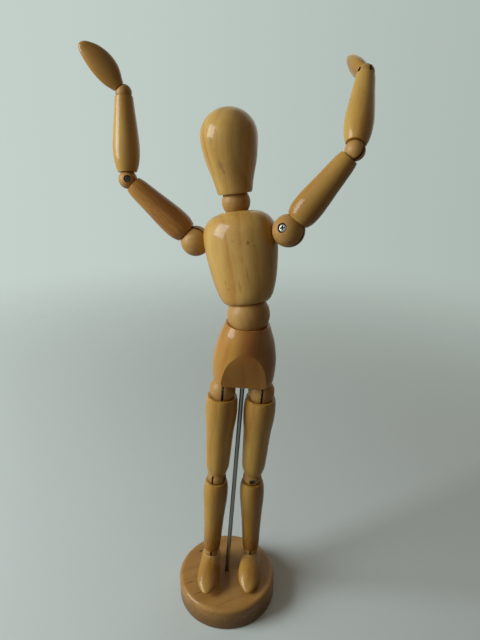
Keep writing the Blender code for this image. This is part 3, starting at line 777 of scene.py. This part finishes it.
def makeHead(shape):
    seat = ballSizes["neck"] + seatGap
    cup = arcLine(seat, math.asin(shape["bore"] / seat), math.acos(shape["cupRim"] / seat), 10)
    outer = [(shape["cupEdge"], shape["cupRim"])]
    outer = curveThrough(outer + [(radius, height) for height, radius in shape["outline"]], 5)
    line = [(0, shape["boreTop"]), (shape["bore"], shape["boreTop"])] + cup + outer
    first = 2 + len(cup)
    line = softened(line, {first - 1: 0.25, first: 0.4})
    head = newObject("headEgg", turnedBody(line, 96), headPlace)
    wood = woodFinish("headWood", lacquered, shape["seed"], marks=shape["marks"])
    dressed(head, wood, "head", ["head"])


makeHead(headShape)
print("head done")


# limb joints: slotted ball, cross-head screw, flat link

screwSizes = {  # radii of shank and head
    "shoulder": (1.2, 2.3), "elbow": (0.9, 1.6), "wrist": (0.7, 1.2),
    "hip": (1.2, 2.3), "knee": (1.0, 1.7), "ankle": (0.85, 1.5),
}
headBehind = ("left_elbow", "right_ankle")  # screw heads on the other cheek
screwShape = {  # in mm; arm and half width of the cross are shares of the head's radius
    "domeHeight": 1.15,
    "domeRim": 0.45,
    "crossArm": 0.56,
    "crossHalf": 0.20,
    "crossFloor": 0.12,
    "crossTop": 2.0,
    "headSink": 1.5,
    "endShare": 0.62,
}
slotShape = {"width": 1.2, "behindScrew": 1.5, "depthShare": 0.63}


def jointSizes(joint):
    ball = ballSizes[joint]
    shank, head = screwSizes[joint]
    return {
        "ball": ball,
        "shank": shank,
        "head": head,
        "slotBack": max(shank + slotShape["behindScrew"], slotShape["depthShare"] * ball),
        "headSeat": math.sqrt(ball**2 - head**2) - screwShape["headSink"],
        "end": screwShape["endShare"] * ball,
    }


def headWay(side, joint):
    return -1 if f"{side}_{joint}" in headBehind else 1


def makeBall(side, joint, bore, tenon, place, body, seed):
    size = jointSizes(joint)
    ball = size["ball"]
    way = headWay(side, joint)
    stem = bore - tenonPlay
    line = [(0, ball + tenon), (stem, ball + tenon)]
    line += arcLine(ball, math.asin(stem / ball), math.pi, 36)
    piece = newObject(f"{side}{joint.title()}Ball", turnedBody(line, 72), place)
    half = slotShape["width"] / 2
    recess = size["head"] + screwPlay
    along = Matrix.Rotation(way * math.pi / 2, 4, "Y")
    slotBlock = blockBody((-half, half), (-2 * ball, 2 * ball), (-2 * ball, size["slotBack"]))
    carved(piece, [
        (slotBlock, Matrix.Identity(4)),
        (rodBody(size["shank"] + screwPlay, -size["end"] - screwPlay, 2 * ball, 32), along),
        (rodBody(recess, size["headSeat"] - screwPlay, 2 * ball, 48), along),
    ])

    # the screw recess and the slot are darkened as painted shade, and left without coat
    def hollowShade(finish, whole):
        across = finish.length(finish.vector("MULTIPLY", whole, (0, 1, 1)))
        sideways = finish.along(whole, (way, 0, 0))
        pit = finish.step(across, recess + 0.22, recess + 0.02) * finish.step(sideways, 0, size["headSeat"])
        offset = finish.add("Math", {"operation": "ABSOLUTE"}, {0: sideways})
        slot = finish.step(offset, half + 0.2, half + 0.02)
        return finish.math("MAXIMUM", pit, slot)

    wood = woodFinish(f"{side}{joint.title()}BallWood", barePale, seed, hollowShade=hollowShade)
    dressed(piece, wood, body, [f"{side}_{joint}_ball"], 0.14, 40)


def screwFinish(joint):
    size = jointSizes(joint)
    head = size["head"]
    top = size["headSeat"] + screwShape["domeHeight"]
    bulge = screwShape["domeHeight"] - screwShape["domeRim"]

    # the cross recess is darkened as painted shade
    def crossRecessShade(finish, place):
        across = finish.length(finish.vector("MULTIPLY", place, (1, 1, 0)))
        dome = top - (across / head) ** 2 * bulge
        below = dome - finish.along(place, (0, 0, 1))
        return finish.step(below, 0.06, 0.22) * finish.step(across, 0.74 * head, 0.66 * head)

    # small screws take the darker copy as painted shade
    look = platedSteel if head > screwSizes["knee"][1] else shadedPlatedSteel
    return steelFinish(f"{joint}ScrewSteel", look, crossRecessShade)


screwSteel = {joint: screwFinish(joint) for joint in screwSizes}


def makeScrew(side, joint, place, body):
    size = jointSizes(joint)
    seat, head, shank, end = size["headSeat"], size["head"], size["shank"], size["end"]
    dome = [
        (head, seat + screwShape["domeRim"]), (0.86 * head, seat + 0.82),
        (0.5 * head, seat + 1.06), (0, seat + screwShape["domeHeight"]),
    ]
    line = [(0, -end), (shank - 0.2, -end), (shank, 0.2 - end), (shank, seat), (head, seat)]
    along = place @ Matrix.Rotation(headWay(side, joint) * math.pi / 2, 4, "Y")
    screw = newObject(f"{side}{joint.title()}Screw", turnedBody(line + curveThrough(dome, 5), 48), along)
    arm, wide = screwShape["crossArm"] * head, screwShape["crossHalf"] * head
    low, high = seat + screwShape["crossFloor"], seat + screwShape["crossTop"]
    carved(screw, [
        (blockBody((-arm, arm), (-wide, wide), (low, high)), Matrix.Identity(4)),
        (blockBody((-wide, wide), (-arm, arm), (low, high)), Matrix.Identity(4)),
    ])
    dressed(screw, screwSteel[joint], body, [f"{side}_{joint}_screw"], 0.06, 40)


def limbLine(length, bore, near, outline, far):
    ball, rim, edge = near
    seat = ballSizes[ball] + seatGap
    cup = arcLine(seat, math.pi - math.asin(bore / seat), math.pi - math.acos(rim / seat), 12)
    outer = [(edge, -rim)] + [(radius, -share * length) for share, radius in outline]
    ball, rim, edge = far
    seat = ballSizes[ball] + seatGap
    outer = curveThrough(outer + [(edge, rim - length)], 5)
    lower = arcLine(seat, math.acos(rim / seat), math.asin(bore / seat), 12, -length)
    first = len(cup)
    last = first + len(outer) - 1
    return softened(cup + outer + lower, {first - 1: 0.22, first: 0.35, last: 0.35, last + 1: 0.22})


# a stain centred at a share of the limb's length
def stainMark(stain, length):
    return (0, 0, -stain["at"] * length), stain["size"], stain["share"], stain["tone"]


def makeLimb(side, limb, line, place, seed, look=honey, marks=()):
    piece = newObject(side + limb.title().replace("_", ""), turnedBody(line, 72, closed=True), place)
    wood = woodFinish(piece.name + "Wood", look, seed, marks=marks)
    dressed(piece, wood, f"{side}_{limb}", [f"{side}_{limb}"])


# arms

armShape = {
    "upperBore": 2.1,
    "upperNear": ("shoulder", 7.2, 6.4),  # ball, rim from its centre, rim radius
    "upperFar": ("elbow", 4.0, 5.0),
    "upperOutline": (  # share of the length, radius
        (0.185, 7.4), (0.24, 8.0), (0.34, 8.15), (0.46, 7.7), (0.60, 7.0), (0.73, 6.4), (0.85, 5.8),
    ),
    "foreBore": 1.8,
    "foreNear": ("elbow", 4.0, 5.3),
    "foreFar": ("wrist", 2.0, 5.0),
    "foreOutline": (
        (0.15, 6.4), (0.24, 7.2), (0.35, 7.55), (0.46, 7.35), (0.61, 6.7), (0.77, 5.9), (0.88, 5.4),
    ),
    "shoulderTenon": 9.0,
    "elbowTenon": 8.0,
    "wristTenon": 7.0,
    "stain": {"at": 0.42, "size": (15.0, 15.0, 24.0), "share": 0.74, "tone": (0.220, 0.066, 0.009)},
    "seed": {"right": 20, "left": 40},
}
ringSides = 48
handShape = {
    "length": 32.7,
    "twist": {"right": 0.0, "left": 53.4},
    "bore": 1.6,
    "linkReach": 14.0,
    "stations": (  # share of the length, half breadth, half thickness, bow
        (0.118, 3.4, 3.2, 0.0), (0.174, 4.2, 3.6, 0.1), (0.26, 5.5, 4.0, 0.4), (0.36, 6.5, 4.3, 0.8),
        (0.49, 7.0, 4.4, 1.0), (0.62, 6.8, 4.2, 1.0), (0.74, 6.0, 3.7, 0.8), (0.84, 4.9, 3.0, 0.4),
        (0.925, 3.5, 2.3, -0.1), (0.97, 2.4, 1.6, -0.4), (0.992, 1.3, 0.9, -0.6), (1.0, 0.4, 0.3, -0.65),
    ),
}


def makeHand(side, shape, seed):
    along = axisOf(f"{side}_hand_twist")
    across = Matrix.Rotation(math.radians(shape["twist"][side]), 3, along) @ axisOf(f"{side}_wrist_swing")
    rings = []
    for share, broad, thick, bow in curveThrough(shape["stations"], 4):
        angles = [math.tau * i / ringSides for i in range(ringSides)]
        at = -share * shape["length"]
        rings.append([(thick * math.cos(a), broad * math.sin(a) + bow, at) for a in angles])
    hand = newObject(f"{side}Hand", loftedBody(rings), placeBy(spot(f"{side}_hand_twist"), across, along))
    carved(hand, [
        (ballBody(ballSizes["wrist"] + seatGap), Matrix.Identity(4)),
        (rodBody(shape["bore"], -shape["linkReach"] - boreSlack, 0, 24), Matrix.Identity(4)),
    ])
    wood = woodFinish(f"{side}HandWood", tawny, seed)
    dressed(hand, wood, f"{side}_hand", [f"{side}_hand"], 0.2, 40)


for side in sides:
    shape = armShape
    seed = shape["seed"][side]
    place = limbPlace(side, "shoulder", "elbow")
    ballPlace = turnPlace(side, "shoulder", place)
    bore, body = chestShape["shoulderBore"], f"{side}_shoulder"
    makeBall(side, "shoulder", bore, shape["shoulderTenon"], ballPlace, body, seed)
    makeScrew(side, "shoulder", ballPlace, body)
    length = reachOf(f"{side}_shoulder_swing", f"{side}_elbow_swing")
    bore = shape["upperBore"]
    line = limbLine(length, bore, shape["upperNear"], shape["upperOutline"], shape["upperFar"])
    stain = stainMark(shape["stain"], length)
    look, marks = (amber, [stain]) if side == "right" else (tawny, [])
    makeLimb(side, "upper_arm", line, place, seed + 1, look, marks)

    place = limbPlace(side, "elbow", "wrist")
    ballPlace = turnPlace(side, "elbow", place)
    makeBall(side, "elbow", bore, shape["elbowTenon"], ballPlace, f"{side}_elbow", seed + 2)
    makeScrew(side, "elbow", ballPlace, f"{side}_elbow")
    length = reachOf(f"{side}_elbow_swing", f"{side}_wrist_swing")
    bore = shape["foreBore"]
    line = limbLine(length, bore, shape["foreNear"], shape["foreOutline"], shape["foreFar"])
    makeLimb(side, "forearm", line, place, seed + 3)

    along = axisOf(f"{side}_hand_twist")
    place = placeBy(spot(f"{side}_wrist_swing"), axisOf(f"{side}_wrist_swing"), along)
    ballPlace = turnPlace(side, "wrist", place)
    makeBall(side, "wrist", bore, shape["wristTenon"], ballPlace, f"{side}_wrist", seed + 4)
    makeScrew(side, "wrist", ballPlace, f"{side}_wrist")
    makeHand(side, handShape, seed + 5)
print("arms done")


# legs

legShape = {
    "thighBore": 2.3,
    "thighNear": ("hip", 4.6, 9.0),
    "thighFar": ("knee", 3.6, 6.0),
    "thighOutline": (
        (0.094, 9.45), (0.14, 9.85), (0.22, 10.0), (0.32, 9.65), (0.44, 8.85),
        (0.59, 8.4), (0.74, 8.0), (0.85, 7.6), (0.90, 6.9),
    ),
    "shinBore": 2.0,
    "shinNear": ("knee", 3.6, 7.0),
    "shinFar": ("ankle", 2.6, 5.5),
    "shinOutline": (
        (0.10, 7.8), (0.18, 8.2), (0.27, 8.1), (0.37, 7.7),
        (0.49, 7.15), (0.63, 6.65), (0.78, 6.2), (0.90, 5.9),
    ),
    "kneeTenon": 9.0,
    "ankleTenon": 5.4,
    "ankleStain": {"at": 1.0, "size": (16.0, 16.0, 26.0), "share": 0.80, "tone": (0.250, 0.082, 0.013)},
    "seed": {"right": 60, "left": 80},
}
footShape = {
    "pitch": -1.8,
    "ankleAboveSole": 12.6,
    "bore": 2.0,
    "widestShare": 0.32,  # of the height, where upper and sole meet
    "soleCurve": (0.8, 0.75),  # powers that square the sole off, across and up
    "marks": (  # worn pale round the ankle; the toes are darkened as painted shade
        ((0, -1.0, 0.0), (12.0, 4.0, 10.0), 0.75, (0.62, 0.43, 0.21)),
        ((4.0, -15.0, -6.0), (8.0, 8.0, 14.0), 0.60, (0.270, 0.092, 0.014)),
    ),
    "stations": (  # along, half width, top, underside
        (9.2, 2.6, 7.8, 3.6), (8.0, 4.8, 9.6, 1.8), (5.5, 6.3, 11.2, 0.4), (1.5, 6.9, 11.8, 0.0),
        (-3.0, 7.0, 11.2, 0.0), (-7.0, 7.3, 10.3, 0.0), (-12.0, 7.7, 9.5, 0.0), (-17.0, 7.5, 8.2, 0.1),
        (-21.5, 6.4, 6.3, 0.4), (-25.5, 4.3, 4.3, 0.9), (-27.8, 2.3, 3.1, 1.3), (-28.6, 0.9, 2.5, 1.7),
    ),
}


def makeFoot(side, shape, place, seed):
    rings = []
    for at, half, top, under in curveThrough(shape["stations"], 4):
        middle = under + shape["widestShare"] * (top - under)
        ring = []
        for i in range(ringSides):
            a = math.tau * i / ringSides
            across, up = math.cos(a), math.sin(a)
            lift = top - middle
            if up <= 0:
                wide, low = shape["soleCurve"]
                across = math.copysign(abs(across) ** wide, across)
                up = math.copysign(abs(up) ** low, up)
                lift = middle - under
            ring.append((half * across, at, middle + lift * up - shape["ankleAboveSole"]))
        rings.append(ring)
    foot = newObject(f"{side}Foot", loftedBody(rings), place)
    ball = ballSizes["ankle"]
    carved(foot, [
        (ballBody(ball + seatGap), Matrix.Identity(4)),
        (rodBody(shape["bore"], -ball - legShape["ankleTenon"] - boreSlack, 0, 24), Matrix.Identity(4)),
    ])
    wood = woodFinish(f"{side}FootWood", tawny, seed, (math.radians(90), 0, 0), shape["marks"])
    dressed(foot, wood, f"{side}_foot", [f"{side}_foot"], 0.2, 40)


for side in sides:
    shape = legShape
    seed = shape["seed"][side]
    place = limbPlace(side, "hip", "knee")
    ballPlace = turnPlace(side, "hip", place)
    bore, body = pelvisShape["hipBore"], f"{side}_hip"
    makeBall(side, "hip", bore, pelvisShape["hipTenon"], ballPlace, body, seed)
    makeScrew(side, "hip", ballPlace, body)
    length = reachOf(f"{side}_hip_swing", f"{side}_knee_swing")
    bore = shape["thighBore"]
    line = limbLine(length, bore, shape["thighNear"], shape["thighOutline"], shape["thighFar"])
    makeLimb(side, "thigh", line, place, seed + 1)

    place = limbPlace(side, "knee", "ankle")
    ballPlace = turnPlace(side, "knee", place)
    makeBall(side, "knee", bore, shape["kneeTenon"], ballPlace, f"{side}_knee", seed + 2)
    makeScrew(side, "knee", ballPlace, f"{side}_knee")
    length = reachOf(f"{side}_knee_swing", f"{side}_ankle_swing")
    bore = shape["shinBore"]
    line = limbLine(length, bore, shape["shinNear"], shape["shinOutline"], shape["shinFar"])
    makeLimb(side, "shin", line, place, seed + 3, tawny, [stainMark(shape["ankleStain"], length)])

    swing = axisOf(f"{side}_ankle_swing")
    up = Matrix.Rotation(math.radians(footShape["pitch"]), 3, swing) @ axisOf(f"{side}_ankle_turn")
    footPlace = placeBy(spot(f"{side}_ankle_swing"), swing, up)
    ballPlace = footPlace @ Matrix.Rotation(math.pi, 4, "X")
    makeBall(side, "ankle", footShape["bore"], shape["ankleTenon"], ballPlace, f"{side}_foot", seed + 4)
    makeScrew(side, "ankle", footPlace, f"{side}_foot")
    makeFoot(side, footShape, footPlace, seed + 5)
print("legs done")


# coil springs through the waist and neck balls, in two halves, each laid along its own side of the joint

springShapes = {
    "waist": {"reach": 22.0, "coil": 2.4, "wire": 0.45, "settled": 16.4},
    "neck": {"reach": 16.0, "coil": 1.6, "wire": 0.35, "settled": 12.0},
}
springTurns = 6
springSteps = 72
wireSides = 10
nudge = 0.001  # share of the spring's length, for taking directions
halfEnds = (0.49, 0.51)  # where the lower half ends and the upper one starts


def coilBody(low, high, shape, start, end):
    reach = shape["reach"]
    corners = -low * reach, -low * reach / 3, high * reach / 3, high * reach

    def middle(t):
        shares = (1 - t) ** 3, 3 * t * (1 - t) ** 2, 3 * t * t * (1 - t), t**3
        return sum((corner * share for corner, share in zip(corners, shares)), Vector())

    def outward(t):
        along = (middle(t + nudge) - middle(t - nudge)).normalized()
        across = (Vector((1, 0, 0)) - along.x * along).normalized()
        return Matrix.Rotation(math.tau * springTurns * t, 3, along) @ across

    def wire(t):
        return middle(t) + shape["coil"] * outward(t)

    rings = []
    angles = [math.tau * k / wireSides for k in range(wireSides)]
    for i in range(springSteps + 1):
        t = start + (end - start) * i / springSteps
        ahead = (wire(t + nudge) - wire(t - nudge)).normalized()
        out = (outward(t) - outward(t).dot(ahead) * ahead).normalized()
        beside = ahead.cross(out)
        rings.append([wire(t) + shape["wire"] * (math.cos(a) * out + math.sin(a) * beside) for a in angles])
    return loftedBody(rings)


def makeSpring(joint, shape, low, high):
    centre = spot(f"{joint}_turn")
    place = Matrix.Translation(centre)
    lower = newObject(f"{joint}SpringLower", coilBody(low, high, shape, 0, halfEnds[0]), place)
    upper = newObject(f"{joint}SpringUpper", coilBody(low, high, shape, halfEnds[1], 1), place)
    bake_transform(lower)
    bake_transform(upper)
    for half in (lower, upper):
        for face in half.data.polygons:
            face.use_smooth = True
        half.data.materials.append(linkSteel)
        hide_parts(f"{joint}_spring")


chestUp = chestPlace.col[2].xyz
makeSpring("waist", springShapes["waist"], pelvisUp.normalized(), chestUp)
makeSpring("neck", springShapes["neck"], chestUp, headUp)
print("springs done")


# links keep their solids

for name, node in frame["nodes"].items():
    if name.endswith("_link"):
        node.data.materials.clear()
        node.data.materials.append(linkSteel)


# floor, light and camera

studio = {
    # the backdrop is painted lighter on the left, toward the window, and darker to the right: painted light
    # falling off
    "backdropLitLeft": (0.56, 0.64, 0.60),
    "backdropShadedRight": (0.40, 0.47, 0.43),
    "backdropTurn": (-0.6, 0.7),
    "floor": (0.62, 0.69, 0.655),
    "floorBounce": (0.15, 0.15, 0.14),  # what the floor throws back at the figure
    "floorRadius": 2.5,
    "floorFade": (0.22, 0.9),  # from solid to clear, in metres from the middle
    "floorRoughness": 0.8,
    "ambient": (0.080, 0.052, 0.033),
    "windowAt": (-0.95, -0.20, 0.60),
    "windowSize": (0.58, 0.66),
    "windowPower": 12.4,
    "windowColor": (0.94, 1.0, 1.04),
    "frontAt": (-0.70, -1.05, 0.70),
    "frontSize": (1.1, 1.1),
    "frontPower": 1.3,
    "frontColor": (1.0, 0.98, 0.94),
    "backAt": (0.65, 1.15, 0.75),
    "backSize": (1.3, 1.3),
    "backPower": 3.0,
    "backColor": (1.0, 0.97, 0.92),
    "aim": (0.005, 0.01, 0.19),
}
camera = {
    "at": (9.56 * mm, -277.68 * mm, 328.34 * mm),
    "pitch": 22.54,
    "focalPixels": 518.0,
    "longSide": 640.0,
    "sensor": 36.0,
    "clip": (0.01, 20.0),
}


def makeFloor(look):
    bm = bmesh.new()
    bmesh.ops.create_circle(bm, cap_ends=True, segments=96, radius=look["floorRadius"])
    floor = newObject("floor", bm, Matrix.Identity(4))
    finish = newFinish("paleFloor")
    place = finish.add("NewGeometry", output="Position")
    away = finish.length(place)
    shader = finish.nodes["Principled BSDF"]
    color = finish.mix(rgba(look["floorBounce"]), rgba(look["floor"]), finish.seen())
    finish.feed(shader, {"Base Color": color, "Roughness": look["floorRoughness"]})
    clear = finish.add("BsdfTransparent")
    fade = finish.add("MixShader", None, {
        0: finish.step(away, *look["floorFade"]), 1: Wire(finish, shader.outputs[0]), 2: clear,
    })
    finish.feed(finish.nodes["Material Output"], {"Surface": fade})
    floor.data.materials.append(finish.owner)


def makeWorld(look):
    world = bpy.data.worlds.new("studio")
    bpy.context.scene.world = world
    finish = Finish(world)
    toRight = finish.along(finish.add("TexCoord", output="Generated"), (1, 0, 0))
    # painted light: the backdrop fades from lit left to shaded right
    backdrop = finish.mix(
        rgba(look["backdropLitLeft"]), rgba(look["backdropShadedRight"]), finish.step(toRight, *look["backdropTurn"])
    )
    color = finish.mix(rgba(look["ambient"]), backdrop, finish.seen())
    finish.feed(finish.nodes["Background"], {"Color": color, "Strength": 1.0})


def makeLamp(name, look):
    at, aim = look[name + "At"], look["aim"]
    lamp = bpy.data.lights.new(name, "AREA")
    lamp.shape = "RECTANGLE"
    lamp.size, lamp.size_y = look[name + "Size"]
    lamp.energy = look[name + "Power"]
    lamp.color = look[name + "Color"]
    thing = bpy.data.objects.new(name, lamp)
    bpy.context.scene.collection.objects.link(thing)
    thing.location = at
    thing.rotation_euler = (Vector(at) - Vector(aim)).to_track_quat("Z", "Y").to_euler()


def makeCamera(look):
    lens = bpy.data.cameras.new("camera")
    lens.sensor_width = look["sensor"]
    lens.lens = look["sensor"] * look["focalPixels"] / look["longSide"]
    lens.clip_start, lens.clip_end = look["clip"]
    thing = bpy.data.objects.new("camera", lens)
    bpy.context.scene.collection.objects.link(thing)
    thing.location = look["at"]
    thing.rotation_euler = (math.radians(90 - look["pitch"]), 0, 0)
    bpy.context.scene.camera = thing


makeFloor(studio)
makeWorld(studio)
for name in ("window", "front", "back"):
    makeLamp(name, studio)
makeCamera(camera)
bpy.context.scene.view_settings.view_transform = "Standard"
print("studio ready")
